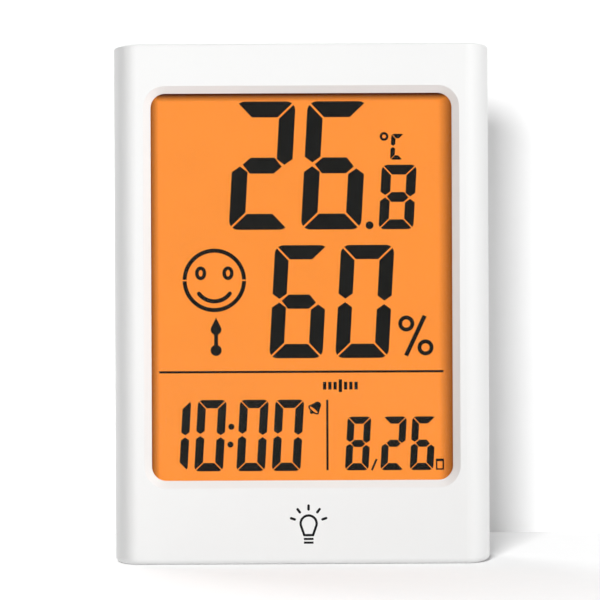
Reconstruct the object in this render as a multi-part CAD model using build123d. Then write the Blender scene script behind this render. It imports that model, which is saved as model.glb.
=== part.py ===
# Room thermometer and humidity meter with clock: a white plastic housing with a large
# backlit liquid crystal display, a touch area under the window, two AAA cells, four
# rear buttons and a fold-out stand.
# Millimetres. +Z is up, the display faces -Y, and the origin is the bottom centre.
from build123d import *
import math
import os

os.makedirs("parts", exist_ok=True)

# Housing
body_width = 78.0
body_height = 107.0
wall = 1.8
front_round_width = 5.3
front_round_depth = 8.5
rear_round = 7.0
top_edge_round = 0.6
base_edge_round = 1.2
seam_from_front = 12.0
seam_gap = 0.2
lip_thickness = 0.8
lip_height = 1.5
lip_clearance = 0.1
overrun = 5.0
layer_gap = 0.02
seat_gap = 0.1

# Window and lens
window_side_margin = 8.0
window_base = 17.15
window_top_margin = 10.15
window_corner = 3.0
bevel_width = 1.45
bevel_depth = 1.3
lens_overlap = 1.5
lens_thickness = 1.0
lens_corner = 2.0
tape_thickness = 0.15
tape_inset = 0.4

# Display stack
glass_overlap = 1.7
glass_thickness = 0.7
glass_ledge = 3.0
cell_gap = 0.1
segment_thickness = 0.06
seal_width = 0.8
polariser_thickness = 0.15
polariser_inset = 0.6
diffuser_thickness = 0.15
guide_thickness = 1.8
reflector_thickness = 0.15
holder_wall = 1.0
holder_clearance = 0.2
holder_setback = 0.6

# Backlight strip
strip_end_inset = 11.55
strip_thickness = 0.8
strip_depth = 1.6
lamp_length = 3.0
lamp_depth = 1.4
lamp_reach = 1.0
lamp_count = 4

# Main board
board_thickness = 1.0
board_side_gap = 1.2
board_bay_gap = 0.63
board_corner = 1.5
board_tail_width = 26.0
board_tail_corner = 1.0
board_ear_width = 7.0
board_wall_gap = 1.8
zebra_thickness = 2.0
zebra_end_inset = 2.7

# Screws and their posts
case_post_radius = 2.5
case_post_gap = 0.1
case_post_from_side = 8.0
case_post_above_seam = 0.5
case_screw_radius = 1.0
case_screw_length = 9.0
case_head_radius = 1.95
case_head_height = 1.4
case_bore_radius = 2.25
case_seat_thickness = 1.6
board_post_radius = 2.2
board_screw_radius = 0.8
board_screw_length = 4.6
board_head_radius = 1.6
board_head_height = 1.1
board_ear_vent_gap = 7.5
tail_screw_offset = 9.6
screw_clearance = 0.02
through_clearance = 0.2
drive_slot_width = 0.5
drive_slot_depth = 0.6
drive_slot_share = 0.62

# Touch mark and the spring behind it
mark_side_offset = 1.2
mark_height = 8.42
mark_depth = 0.1
mark_stroke = 0.5
globe_radius = 1.89
neck_width = 2.28
neck_drop = 2.64
neck_round = 0.2
cap_bar_length = 1.98
cap_bar_thickness = 0.46
cap_bar_pitch = 0.76
ray_length = 1.3
ray_width = 0.52
ray_start = 2.75
ray_centre_drop = 0.12
ray_angles = (-71.5, -36.5, 0, 36.5, 71.5)
touch_coil_radius = 2.4
touch_wire = 0.5
touch_turns = 4

# Battery bay
cell_diameter = 10.5
cell_length = 43.7
cell_nub_radius = 2.0
cell_nub_height = 0.8
cell_rim = 0.5
cell_gap_side = 0.2
bay_drop = 45.0
bay_wall = 2.4
bay_floor = 0.9
bay_end_space = 3.35
contact_plate = 0.4
contact_plate_width = 9.0
contact_dimple_radius = 1.8
contact_spring_length = 4.0
contact_spring_wire = 0.6
contact_spring_base = 3.6
contact_spring_tip = 2.2
contact_turns = 4
lug_width = 2.4
lug_reach = 1.6
lug_height = 2.2
lead_radius = 0.6
lead_wall_gap = 0.3
lead_lug_run = 2.6
lead_drop = 7.0
lead_rise = 3.4
lead_bends = (1.6, 2.8)

# Battery cover
cover_thickness = 1.6
cover_margin = 1.6
cover_clearance = 0.2
cover_corner = 1.5
tongue_width = 5.0
tongue_thickness = 1.0
tongue_reach = 1.5
tongue_drop = 0.3
tongue_foot = 1.3
tongue_offset = 17.0
tongue_slot_depth = 2.8
tongue_end_gap = 0.2
latch_width = 8.0
latch_thickness = 1.2
latch_depth = 2.0
latch_slot_width = 0.8
latch_slot_length = 6.0
scoop_width = 13.0
scoop_height = 3.6
scoop_depth = 1.1
grip_count = 3
grip_length = 7.0
grip_width = 0.7
grip_pitch = 1.5
grip_depth = 0.35

# Stand
stand_width = 38.0
stand_thickness = 2.4
stand_barrel_radius = 1.7
stand_pin_radius = 1.0
stand_pin_length = 1.6
stand_pin_clearance = 0.05
stand_cover_gap = 5.3
stand_foot_height = 4.6
stand_foot_corner = 4.0
stand_notch_radius = 6.5
stand_panel_inset = 3.0
stand_panel_depth = 0.7
stand_clearance = 0.35
stand_floor = 1.4
stand_wall = 2.4

# Keyhole, vents and sound holes
keyhole_drop = 10.5
keyhole_radius = 4.0
keyhole_slot_width = 3.8
keyhole_slot_rise = 6.0
vent_post_gap = 11.5
vent_drop = 10.0
vent_length = 13.0
vent_width = 1.3
vent_pitch = 2.2
vent_count = 5
sound_hole_radius = 0.65
sound_ring_radius = 2.6
sound_hole_count = 6

# Buttons and switches
button_drop = 22.6
button_width = 8.4
button_rise = 5.0
button_corner = 2.4
button_clearance = 0.15
button_below_rear = 0.2
button_flange = 0.7
button_flange_thickness = 0.7
button_stem_radius = 1.6
button_edge_round = 0.4
button_travel = 0.3
key_strip_margin = 10.5
key_strip_end = 0.5
key_strip_height = 9.4
key_strip_depth = 0.9
key_strip_corner = 2.0
key_symbol_size = 1.9
key_symbol_stroke = 0.45
key_symbol_depth = 0.25
switch_width = 6.0
switch_height = 3.5
switch_total = 8.0
switch_plunger_radius = 1.7
switch_plunger_clearance = 0.08
switch_plunger_depth = 1.2
switch_foot_round = 0.4

# Small parts on the board
blob_radius = 5.0
blob_height = 1.7
blob_rise = 12.5
crystal_radius = 1.5
crystal_length = 8.0
crystal_offset = 13.0
crystal_rise = 14.5
chip_length = 2.0
chip_width = 1.25
chip_height = 0.6
chip_pitch = 3.2
chip_count = 5
chip_row_rise = 4.2
sensor_width = 8.0
sensor_rise = 10.0
sensor_depth = 3.6
sensor_wall = 0.8
sensor_slot_width = 0.8
sensor_slot_count = 4
bead_radius = 1.3
bead_stand = 4.5
bead_leg_radius = 0.25
bead_leg_gap = 1.4
bead_below_edge = 9.95
bead_edge_inset = 7.5
buzzer_radius = 6.0
buzzer_height = 5.0
buzzer_port_radius = 1.2
buzzer_port_depth = 0.8
buzzer_round = 0.5

# Segment shapes, as shares of the stroke, which is a share of the digit's width and an
# extra share of the window's width
stroke_share = 0.24
stroke_extra_share = 0.0048
corner_share = 0.6
gap_share = 0.085
middle_gap_share = 0.12
upright_tip_share = 0.36
bar_tip_share = 0.48
bar_setback_share = 0.16
middle_lean_share = 0.075
digit_slant = math.radians(3.3)

# Display rows: segments, left edge, base line, width and height, as shares of the window
segments_of = {
    "0": "abcdef", "1": "bc", "2": "abged", "6": "acdefg", "8": "abcdefg", "C": "adef",
}
digit_row_shares = [
    ("2", -0.2431, 0.1487, 0.2010, 0.3330),
    ("6", -0.0022, 0.1487, 0.2010, 0.3330),
    ("8", 0.2570, 0.1487, 0.1165, 0.1674),
    ("C", 0.2966, 0.3292, 0.0420, 0.0672),
    ("6", -0.1098, -0.1852, 0.1780, 0.2935),
    ("0", 0.1105, -0.1852, 0.1780, 0.2935),
    ("1", -0.4800, -0.4780, 0.0960, 0.1852),
    ("0", -0.3616, -0.4780, 0.0960, 0.1852),
    ("0", -0.2213, -0.4780, 0.0960, 0.1852),
    ("0", -0.1029, -0.4780, 0.0960, 0.1852),
    ("8", 0.1413, -0.4770, 0.0790, 0.1393),
    ("2", 0.2597, -0.4770, 0.0790, 0.1393),
    ("6", 0.3574, -0.4770, 0.0790, 0.1393),
]
# Round dots: centre and radius, as shares of the window's width, height and width
dot_shares = [
    (0.2273, 0.1592, 0.0132),
    (-0.2369, -0.3626, 0.0102),
    (-0.2402, -0.4087, 0.0102),
]
degree_shares = (0.2769, 0.3897, 0.0146, 0.0082)
percent_ring_shares = [(0.3485, -0.0964, 0.0268, 0.0132), (0.4124, -0.1586, 0.0268, 0.0132)]
percent_bar_shares = ((0.4101, -0.0762), (0.3474, -0.1797), 0.0142)
rule_shares = [
    ((-0.4770, -0.2205), (0.4720, -0.2205), 0.0076),
    ((0.0835, -0.2936), (0.0835, -0.4763), 0.0074),
]
face_centre_shares = (-0.2916, 0.0178)
drop_centre_shares = (-0.2866, -0.1100)
stem_centre_shares = (-0.2866, -0.1420)
# Sizes of these signs, as shares of the window's height
face_radius_share = 0.0825
face_stroke_share = 0.0106
face_split_share = 0.0035
eye_offset_shares = (0.0355, 0.0185)
eye_radius_shares = (0.0146, 0.0178)
eye_stroke_share = 0.0094
mouth_point_shares = ((-0.0400, -0.0345), (0, -0.0545), (0.0400, -0.0345))
mouth_stroke_share = 0.0108
drop_radius_share = 0.0140
drop_tip_share = 0.0311
stem_size_shares = (0.0101, 0.0440)
stem_bulb_share = 0.0093
# The calendar and the bell, as shares of the window's width and height
weekday_centre_shares = (0.1276, -0.2570)
weekday_pitch_share = 0.0175
weekday_size_shares = (0.0110, 0.0200)
weekday_tall_share = 0.0330
weekday_count = 7
weekday_lit = 3
month_bar_shares = ((0.2315, -0.4770), (0.2475, -0.4480), 0.0070)
day_frame_centre_shares = (0.4589, -0.4620)
day_frame_size_shares = (0.0270, 0.0290)
day_frame_stroke_share = 0.0050
day_frame_bar_share = 0.0085
bell_centre_shares = (0.0380, -0.3195)
bell_tilt = -40
bell_dome_share = 0.0122
bell_length_share = 0.0200
bell_mouth_shares = (0.0218, 0.0100)
bell_rim_share = 0.0058
bell_clapper_share = 0.0062

# Depth of the housing, from what is stacked in it
display_depth = wall + tape_thickness + lens_thickness + seat_gap
display_depth += 2 * (polariser_thickness + layer_gap + glass_thickness) + cell_gap
display_depth += diffuser_thickness + guide_thickness + reflector_thickness + 4 * layer_gap
bay_depth = bay_floor + cell_diameter + cell_gap_side * 3 / 2 + cover_thickness
body_depth = display_depth + board_thickness + board_bay_gap + bay_depth

# Places worked out from the sizes above
front_y = -body_depth / 2
rear_y = body_depth / 2
seam_y = front_y + seam_from_front
bezel_y = front_y + wall
rear_inner_y = rear_y - wall
window_width = body_width - 2 * window_side_margin
window_height = body_height - window_base - window_top_margin
window_centre = window_base + window_height / 2
lens_width = window_width + 2 * lens_overlap
lens_height = window_height + 2 * lens_overlap
glass_width = window_width + 2 * glass_overlap
glass_height = window_height + 2 * glass_overlap
lens_y = bezel_y + tape_thickness
front_film_y = lens_y + lens_thickness + seat_gap
front_glass_y = front_film_y + polariser_thickness + layer_gap
segment_y = front_glass_y + glass_thickness + (cell_gap - segment_thickness) / 2
rear_glass_y = front_glass_y + glass_thickness + cell_gap
rear_film_y = rear_glass_y + glass_thickness + layer_gap
diffuser_y = rear_film_y + polariser_thickness + layer_gap
guide_y = diffuser_y + diffuser_thickness + layer_gap
reflector_y = guide_y + guide_thickness + layer_gap
board_y = reflector_y + reflector_thickness + layer_gap
board_rear_y = board_y + board_thickness
glass_base = window_centre - glass_height / 2
glass_top = window_centre + glass_height / 2
ledge_base = glass_base - glass_ledge
strip_height = glass_height - 2 * strip_end_inset
zebra_length = glass_width - 2 * zebra_end_inset
board_width = body_width - 2 * (wall + board_side_gap)
board_low = ledge_base - holder_wall
board_high = glass_top + holder_wall
case_post_x = body_width / 2 - case_post_from_side
case_post_low = wall + case_post_gap + case_post_radius
case_post_high = body_height - wall - case_post_gap - case_post_radius
board_top_screw_z = body_height - wall - case_post_gap - board_post_radius
board_tail_screw_z = wall + case_post_gap + board_post_radius
vent_offset = case_post_x - vent_post_gap
vent_height = body_height - vent_drop
keyhole_height = body_height - keyhole_drop
board_ear_offset = vent_offset - board_ear_vent_gap
bead_x = board_width / 2 - bead_edge_inset
bead_z = board_high - bead_below_edge
cover_inner_y = rear_y - cover_thickness
bay_centre_height = body_height - bay_drop
cell_y = cover_inner_y - cell_gap_side - cell_diameter / 2
cell_offset = cell_diameter / 2 + cell_gap_side / 2
bay_floor_y = cell_y - cell_diameter / 2 - cell_gap_side / 2
bay_half_height = cell_diameter + cell_gap_side * 3 / 2
bay_half_length = (cell_length + cell_nub_height) / 2 + bay_end_space
cover_base = bay_centre_height - bay_half_height - cover_margin
cover_top = bay_centre_height + bay_half_height + cover_margin
cover_half_width = bay_half_length + cover_margin
stand_axis_y = rear_y - stand_barrel_radius
stand_hinge_height = cover_base - stand_cover_gap
key_strip_width = body_width - 2 * key_strip_margin
button_pitch = (key_strip_width - 2 * key_strip_end) / 4
button_height = body_height - button_drop
button_places = [(step * button_pitch, button_height) for step in (-1.5, -0.5, 0.5, 1.5)]
button_names = ["down", "up", "set", "mode"]


def block(low, high):
    size = [b - a for a, b in zip(low, high)]
    middle = [(a + b) / 2 for a, b in zip(low, high)]
    return Pos(*middle) * Box(*size)


def facing(y):
    return Plane(origin=(0, y, 0), x_dir=(1, 0, 0), z_dir=(0, -1, 0))


def slab(shape, start_y, thickness):
    """Flat shape, drawn as seen from the front, made solid from start_y backwards."""
    return extrude(facing(start_y + thickness) * shape, amount=thickness)


def rod(x, z, radius, start_y, end_y):
    return slab(Pos(x, z) * Circle(radius), start_y, end_y - start_y)


def cross_rod(start_x, end_x, y, z, radius):
    length = end_x - start_x
    return Pos((start_x + end_x) / 2, y, z) * Rot(0, 90, 0) * Cylinder(radius, length)


def rounded(width, height, corner, x=0, z=0):
    return Pos(x, z) * RectangleRounded(width, height, corner)


def bar(start, end, width):
    across, up = end[0] - start[0], end[1] - start[1]
    turn = math.degrees(math.atan2(up, across))
    middle = ((start[0] + end[0]) / 2, (start[1] + end[1]) / 2)
    return Pos(*middle) * Rot(0, 0, turn) * Rectangle(math.hypot(across, up), width)


def coil(base_radius, tip_radius, length, wire, turns):
    """Open coil that climbs along +Z from its base at the origin."""
    quarters = turns * 4

    def point(step):
        share = step / quarters
        radius = base_radius + (tip_radius - base_radius) * share
        angle = math.radians(90) * step
        climb = wire / 2 + (length - wire) * share
        return (radius * math.cos(angle), radius * math.sin(angle), climb)

    arcs = [
        ThreePointArc(point(step), point(step + 0.5), point(step + 1))
        for step in range(quarters)
    ]
    path = Wire(arcs)
    section = Plane(origin=path @ 0, z_dir=path % 0) * Circle(wire / 2)
    return sweep(section, path=path)


def screw(radius, length, head_radius, head_height):
    """Pan head screw along -Y: the head's underside is at y = 0."""
    head = rod(0, 0, head_radius, 0, head_height)
    head = fillet(head.edges().sort_by(Axis.Y)[-1], head_height / 2)
    for turn in (0, 90):
        slot = Rot(0, 0, turn) * Rectangle(2 * head_radius * drive_slot_share, drive_slot_width)
        head -= slab(slot, head_height - drive_slot_depth, drive_slot_depth)
    return head + rod(0, 0, radius, -length, 0)


# Outer form: a slab with elliptical front sides and round rear sides
def housing_section(inset):
    half = body_width / 2 - inset
    front_corner = (body_width / 2 - front_round_width, front_y + front_round_depth)
    rear_corner = (body_width / 2 - rear_round, rear_y - rear_round)
    right = [
        EllipticalCenterArc(
            front_corner, front_round_width - inset, front_round_depth - inset, 270, arc_size=90
        ),
        Line((half, front_corner[1]), (half, rear_corner[1])),
        CenterArc(rear_corner, rear_round - inset, 0, 90),
    ]
    left = [mirror(edge, about=Plane.YZ) for edge in right]
    front_edge = Line((-front_corner[0], front_y + inset), (front_corner[0], front_y + inset))
    rear_edge = Line((-rear_corner[0], rear_y - inset), (rear_corner[0], rear_y - inset))
    return make_face([*right, *left, front_edge, rear_edge])


def housing_block(inset):
    height = body_height - 2 * inset
    return Pos(0, 0, inset) * extrude(housing_section(inset), amount=height)


def y_range(start_y, end_y):
    reach = body_width
    return block((-reach, start_y, -reach), (reach, end_y, body_height + reach))


def outer_form():
    form = housing_block(0)
    form = fillet(form.faces().sort_by(Axis.Z)[-1].outer_wire().edges(), top_edge_round)
    return fillet(form.faces().sort_by(Axis.Z)[0].outer_wire().edges(), base_edge_round)


solid_form = outer_form()
hollow_form = solid_form - housing_block(wall)


# Printed lamp mark: a globe that narrows to a flat base, two cap bars and five rays
def touch_mark():
    edges = list(Circle(globe_radius).edges())
    corner_x = neck_width / 2 - neck_round
    for x in (-corner_x, corner_x):
        edges += (Pos(x, neck_round - neck_drop) * Circle(neck_round)).edges()
    outline = make_hull(edges)
    mark = outline - offset(outline, amount=-mark_stroke)
    for step in (1, 2):
        level = cap_bar_thickness / 2 - neck_drop - step * cap_bar_pitch
        mark += Pos(0, level) * Rectangle(cap_bar_length, cap_bar_thickness)
    ray = Pos(0, ray_start + ray_length / 2) * Rot(0, 0, 90) * SlotOverall(ray_length, ray_width)
    for angle in ray_angles:
        mark += Pos(0, -ray_centre_drop) * Rot(0, 0, angle) * ray
    return Pos(mark_side_offset, mark_height) * mark


# Front shell
def front_shell():
    shell = hollow_form & y_range(front_y - overrun, seam_y)
    lip = housing_block(wall - lip_thickness) - housing_block(wall)
    shell += lip & y_range(seam_y, seam_y + lip_height)
    window = rounded(window_width, window_height, window_corner, 0, window_centre)
    shell -= slab(window, front_y - overrun, wall + 2 * overrun)
    wide = rounded(
        window_width + 2 * bevel_width,
        window_height + 2 * bevel_width,
        window_corner + bevel_width,
        0,
        window_centre,
    )
    shell -= loft([facing(front_y) * wide, facing(front_y + bevel_depth) * window])
    for x in (-case_post_x, case_post_x):
        for z in (case_post_low, case_post_high):
            top = seam_y + case_post_above_seam
            shell += rod(x, z, case_post_radius, bezel_y, top)
            pilot_end = top + case_seat_thickness - case_screw_length - seat_gap
            shell -= rod(x, z, case_screw_radius + screw_clearance, pilot_end, top)
    for x, z in board_screw_places():
        shell += rod(x, z, board_post_radius, bezel_y, board_y)
        pilot_end = board_rear_y - board_screw_length - seat_gap
        shell -= rod(x, z, board_screw_radius + screw_clearance, pilot_end, board_y)
    return shell - slab(touch_mark(), front_y, mark_depth)


def board_screw_places():
    top = [(x, board_top_screw_z) for x in (-board_ear_offset, board_ear_offset)]
    tail = [
        (mark_side_offset + x, board_tail_screw_z)
        for x in (-tail_screw_offset, tail_screw_offset)
    ]
    return top + tail


# Segment outlines: a vertex is (x, z), or (x, z, through_x, through_z) after an arc
def outline_face(vertices, place):
    edges = []
    for here, there in zip(vertices, vertices[1:] + vertices[:1]):
        start, end = place(*here[:2]), place(*there[:2])
        if len(there) == 4:
            edges.append(ThreePointArc(start, place(*there[2:]), end))
        else:
            edges.append(Line(start, end))
    return make_face(edges)


def digit(character, left, base, width, height):
    stroke = stroke_share * width + stroke_extra_share * window_width
    corner = corner_share * stroke
    mitre = gap_share * stroke
    middle_gap = middle_gap_share * stroke
    tip = upright_tip_share * stroke
    lean = middle_lean_share * stroke
    middle = height / 2
    # where the mitre line meets the round corner, measured in from the corner
    reach = 2 * corner - mitre
    cut = (reach - math.sqrt(reach**2 - 2 * (corner - mitre) ** 2)) / 2
    tip_angle = math.atan2(corner - cut, mitre + cut - corner)
    half_angle = (tip_angle + math.radians(90)) / 2
    through = (corner + corner * math.cos(half_angle), corner - corner * math.sin(half_angle))

    def cap(side_up):
        high = [
            (mitre + cut, cut),
            (corner, 0, *through),
            (width - corner, 0),
            (width - mitre - cut, cut, width - through[0], through[1]),
            (width - mitre - stroke, stroke),
            (mitre + stroke, stroke),
        ]
        return [flipped(vertex, False, side_up) for vertex in high]

    def upright(side_right, side_up):
        sign = -1 if side_right else 1
        sign_up = 1 if side_up else -1
        joint = middle - middle_gap - sign * sign_up * lean
        side = [
            (cut, mitre + cut),
            (0, corner, through[1], through[0]),
            (0, joint - tip),
            (stroke / 2, joint),
            (stroke, joint - tip),
            (stroke, mitre + stroke),
        ]
        return [flipped(vertex, side_right, side_up) for vertex in side]

    def crossbar():
        low, high = middle - stroke / 2, middle + stroke / 2
        near = stroke / 2 + bar_setback_share * stroke
        shoulder = near + bar_tip_share * stroke
        return [
            (near, middle + lean),
            (shoulder, high),
            (width - shoulder, high),
            (width - near, middle - lean),
            (width - shoulder, low),
            (shoulder, low),
        ]

    def flipped(vertex, side_right, side_up):
        turned = []
        for x, down in zip(vertex[0::2], vertex[1::2]):
            turned += [width - x if side_right else x, height - down if side_up else down]
        return tuple(turned)

    shapes = {
        "a": cap(True), "d": cap(False), "g": crossbar(),
        "f": upright(False, True), "b": upright(True, True),
        "e": upright(False, False), "c": upright(True, False),
    }

    def place(x, z):
        return (left + x + z * math.tan(digit_slant), base + z)

    return [outline_face(shapes[name], place) for name in segments_of[character]]


# Everything dark on the display, drawn about the middle of the window
def display_shapes():
    w, h = window_width, window_height
    shapes = []
    for character, left, base, width, height in digit_row_shares:
        shapes += digit(character, left * w, base * h, width * w, height * h)
    for x, z, radius in dot_shares:
        shapes.append(Pos(x * w, z * h) * Circle(radius * w))
    for x, z, radius, stroke in [degree_shares, *percent_ring_shares]:
        ring = Circle(radius * w) - Circle((radius - stroke) * w)
        shapes.append(Pos(x * w, z * h) * ring)
    for start, end, width in [percent_bar_shares, *rule_shares, month_bar_shares]:
        ends = [(x * w, z * h) for x, z in (start, end)]
        shapes.append(bar(*ends, width * w))
    shapes += smiling_face(w, h) + comfort_signs(w, h) + calendar_signs(w, h)
    return shapes + bell_sign(w, h)


def smiling_face(w, h):
    centre = Pos(face_centre_shares[0] * w, face_centre_shares[1] * h)
    radius = face_radius_share * h
    ring = Circle(radius) - Circle(radius - face_stroke_share * h)
    split = Rectangle(3 * radius, face_split_share * h)
    shapes = [centre * piece for piece in (ring - split).faces()]
    across, up = eye_radius_shares[0] * h, eye_radius_shares[1] * h
    stroke = eye_stroke_share * h
    for side in (-1, 1):
        eye = Ellipse(across, up) - Ellipse(across - stroke, up - stroke)
        place = Pos(side * eye_offset_shares[0] * h, eye_offset_shares[1] * h)
        shapes.append(centre * place * eye)
    points = [(x * h, z * h) for x, z in mouth_point_shares]
    shapes.append(centre * SlotArc(ThreePointArc(*points), mouth_stroke_share * h))
    return shapes


def comfort_signs(w, h):
    """A falling drop over a small thermometer."""
    radius, tip = drop_radius_share * h, drop_tip_share * h
    side = math.acos(radius / tip)
    touch = (radius * math.sin(side), radius * math.cos(side))
    drop = make_face([
        Line((0, tip), touch),
        ThreePointArc(touch, (0, -radius), (-touch[0], touch[1])),
        Line((-touch[0], touch[1]), (0, tip)),
    ])
    width, height = stem_size_shares[0] * h, stem_size_shares[1] * h
    stem = Rectangle(width, height) + Pos(0, height / 2) * Circle(width / 2)
    stem += Pos(0, -height / 2) * Circle(stem_bulb_share * h + width / 2)
    drop_place = Pos(drop_centre_shares[0] * w, drop_centre_shares[1] * h)
    stem_place = Pos(stem_centre_shares[0] * w, stem_centre_shares[1] * h)
    return [drop_place * drop, stem_place * stem]


def calendar_signs(w, h):
    """Seven weekday marks, the lit one taller, and a small calendar frame."""
    shapes = []
    for step in range(weekday_count):
        x = weekday_centre_shares[0] + (step - (weekday_count - 1) / 2) * weekday_pitch_share
        height = weekday_tall_share if step == weekday_lit else weekday_size_shares[1]
        mark = Rectangle(weekday_size_shares[0] * w, height * h)
        shapes.append(Pos(x * w, weekday_centre_shares[1] * h) * mark)
    width, height = day_frame_size_shares[0] * w, day_frame_size_shares[1] * h
    stroke = day_frame_stroke_share * w
    top_bar = day_frame_bar_share * w
    frame = Rectangle(width, height)
    opening = Rectangle(width - 2 * stroke, height - stroke - top_bar)
    frame -= Pos(0, (stroke - top_bar) / 2) * opening
    place = Pos(day_frame_centre_shares[0] * w, day_frame_centre_shares[1] * h)
    return shapes + [place * frame]


def bell_sign(w, h):
    """Tilted alarm bell: a domed body, and below it an open mouth with its clapper."""
    dome, length = bell_dome_share * w, bell_length_share * w
    across, deep = bell_mouth_shares[0] * w, bell_mouth_shares[1] * w
    body = make_face([
        ThreePointArc((-dome, length), (0, length + dome), (dome, length)),
        Line((dome, length), (across, 0)),
        Line((across, 0), (-across, 0)),
        Line((-across, 0), (-dome, length)),
    ])
    rim = bell_rim_share * w
    mouth = Ellipse(across, deep) - Ellipse(across - rim, deep - rim)
    clapper = Pos(0, -deep) * Circle(bell_clapper_share * w)
    sign = body - Ellipse(across - rim, deep - rim) + mouth + clapper
    place = Pos(bell_centre_shares[0] * w, bell_centre_shares[1] * h) * Rot(0, 0, bell_tilt)
    return [place * sign]


def display_segments():
    solids = []
    for shape in display_shapes():
        for face in shape.faces():
            placed = Pos(0, window_centre) * face
            solids.append(slab(placed, segment_y, segment_thickness))
    return Compound(children=[piece for solid in solids for piece in solid.solids()])


# Lens and display stack
def window_plate(width, height, start_y, thickness, corner=0):
    if corner:
        return slab(rounded(width, height, corner, 0, window_centre), start_y, thickness)
    return slab(Pos(0, window_centre) * Rectangle(width, height), start_y, thickness)


def window_lens():
    return window_plate(lens_width, lens_height, lens_y, lens_thickness, lens_corner)


def lens_tape():
    outer = rounded(
        lens_width - tape_inset, lens_height - tape_inset, lens_corner, 0, window_centre
    )
    inner = rounded(
        window_width + tape_inset, window_height + tape_inset, window_corner, 0, window_centre
    )
    return slab(outer - inner, bezel_y, tape_thickness)


def film(start_y, thickness):
    width, height = glass_width - polariser_inset, glass_height - polariser_inset
    return window_plate(width, height, start_y, thickness)


def front_glass():
    return block(
        (-glass_width / 2, front_glass_y, ledge_base),
        (glass_width / 2, front_glass_y + glass_thickness, glass_top),
    )


def rear_glass():
    return window_plate(glass_width, glass_height, rear_glass_y, glass_thickness)


def edge_seal():
    outer = Rectangle(glass_width, glass_height)
    inner = Rectangle(glass_width - 2 * seal_width, glass_height - 2 * seal_width)
    ring = Pos(0, window_centre) * (outer - inner)
    thickness = cell_gap - 2 * layer_gap
    return slab(ring, rear_glass_y - cell_gap + layer_gap, thickness)


def light_guide():
    return window_plate(glass_width, glass_height, guide_y, guide_thickness)


# The lamp strip stands on the left of the light guide, in a bulge of the holder
strip_low = window_centre - strip_height / 2
strip_high = window_centre + strip_height / 2
lamp_x = -glass_width / 2 - seat_gap
strip_x = lamp_x - lamp_reach


def lamp_strip():
    middle_y = guide_y + guide_thickness / 2
    return block(
        (strip_x - strip_thickness, middle_y - strip_depth / 2, strip_low),
        (strip_x, middle_y + strip_depth / 2, strip_high),
    )


def lamps():
    middle_y = guide_y + guide_thickness / 2
    pitch = strip_height / lamp_count
    solids = []
    for step in range(lamp_count):
        z = strip_low + (step + 0.5) * pitch
        low = (strip_x, middle_y - lamp_depth / 2, z - lamp_length / 2)
        high = (lamp_x, middle_y + lamp_depth / 2, z + lamp_length / 2)
        solids.append(block(low, high))
    return Compound(children=solids)


def display_holder():
    half = glass_width / 2 + holder_clearance
    low, high = ledge_base - holder_clearance, glass_top + holder_clearance
    start = bezel_y + holder_setback
    outer = block(
        (-half - holder_wall, start, low - holder_wall),
        (half + holder_wall, board_y, high + holder_wall),
    )
    strip_clear = strip_x - strip_thickness - holder_clearance
    strip_start = guide_y - holder_clearance
    outer += block(
        (strip_clear - holder_wall, strip_start, strip_low - holder_clearance - holder_wall),
        (0, board_y, strip_high + holder_clearance + holder_wall),
    )
    frame = outer - block((-half, start - overrun, low), (half, board_y + overrun, high))
    return frame - block(
        (strip_clear, strip_start, strip_low - holder_clearance),
        (0, board_y + overrun, strip_high + holder_clearance),
    )


def zebra_strip():
    middle = (ledge_base + glass_base) / 2
    return block(
        (-zebra_length / 2, front_glass_y + glass_thickness, middle - zebra_thickness / 2),
        (zebra_length / 2, board_y, middle + zebra_thickness / 2),
    )


# Main board: a plate with two ears at the top and a tail behind the touch mark
def main_board():
    middle = (board_low + board_high) / 2
    shape = rounded(board_width, board_high - board_low, board_corner, 0, middle)
    ear_top = body_height - wall - board_wall_gap / 2
    for x in (-board_ear_offset, board_ear_offset):
        rise = ear_top - board_high + board_corner
        shape += Pos(x, ear_top - rise / 2) * Rectangle(board_ear_width, rise)
    tail_low = wall + board_wall_gap / 2
    drop = board_low + board_corner - tail_low
    tail = rounded(board_tail_width, drop, board_tail_corner)
    shape += Pos(mark_side_offset, tail_low + drop / 2) * tail
    for x, z in board_screw_places():
        shape -= Pos(x, z) * Circle(board_screw_radius + through_clearance)
    return slab(shape, board_y, board_thickness)


def chip_blob():
    top = board_rear_y + blob_height
    blob = rod(0, board_low + blob_rise, blob_radius, board_rear_y, top)
    return fillet(blob.edges().sort_by(Axis.Y)[-1], blob_height - seat_gap)


def clock_crystal():
    y = board_rear_y + crystal_radius
    end = crystal_offset + crystal_length
    can = cross_rod(crystal_offset, end, y, board_low + crystal_rise, crystal_radius)
    return fillet(can.edges().sort_by(Axis.X)[-1], crystal_radius / 3)


def chip_parts():
    solids = []
    for row in (-1, 1):
        for step in range(chip_count):
            x = (step - (chip_count - 1) / 2) * chip_pitch
            z = board_low + chip_row_rise + row * chip_length
            low = (x - chip_width / 2, board_rear_y, z - chip_length / 2)
            high = (x + chip_width / 2, board_rear_y + chip_height, z + chip_length / 2)
            solids.append(block(low, high))
    return Compound(children=solids)


def humidity_sensor():
    """Vented cap over the humidity element."""
    y = board_rear_y
    low = (vent_offset - sensor_width / 2, y, vent_height - sensor_rise / 2)
    high = (vent_offset + sensor_width / 2, y + sensor_depth, vent_height + sensor_rise / 2)
    cap = block(low, high)
    inner_low = [edge + sensor_wall for edge in low]
    inner_high = [edge - sensor_wall for edge in high]
    cap -= block(inner_low, inner_high)
    pitch = (sensor_rise - 2 * sensor_wall) / sensor_slot_count
    for step in range(sensor_slot_count):
        z = low[2] + sensor_wall + (step + 0.5) * pitch
        slot_low = (inner_low[0], inner_high[1] - sensor_wall, z - sensor_slot_width / 2)
        slot_high = (inner_high[0], high[1] + overrun, z + sensor_slot_width / 2)
        cap -= block(slot_low, slot_high)
    return cap


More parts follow.
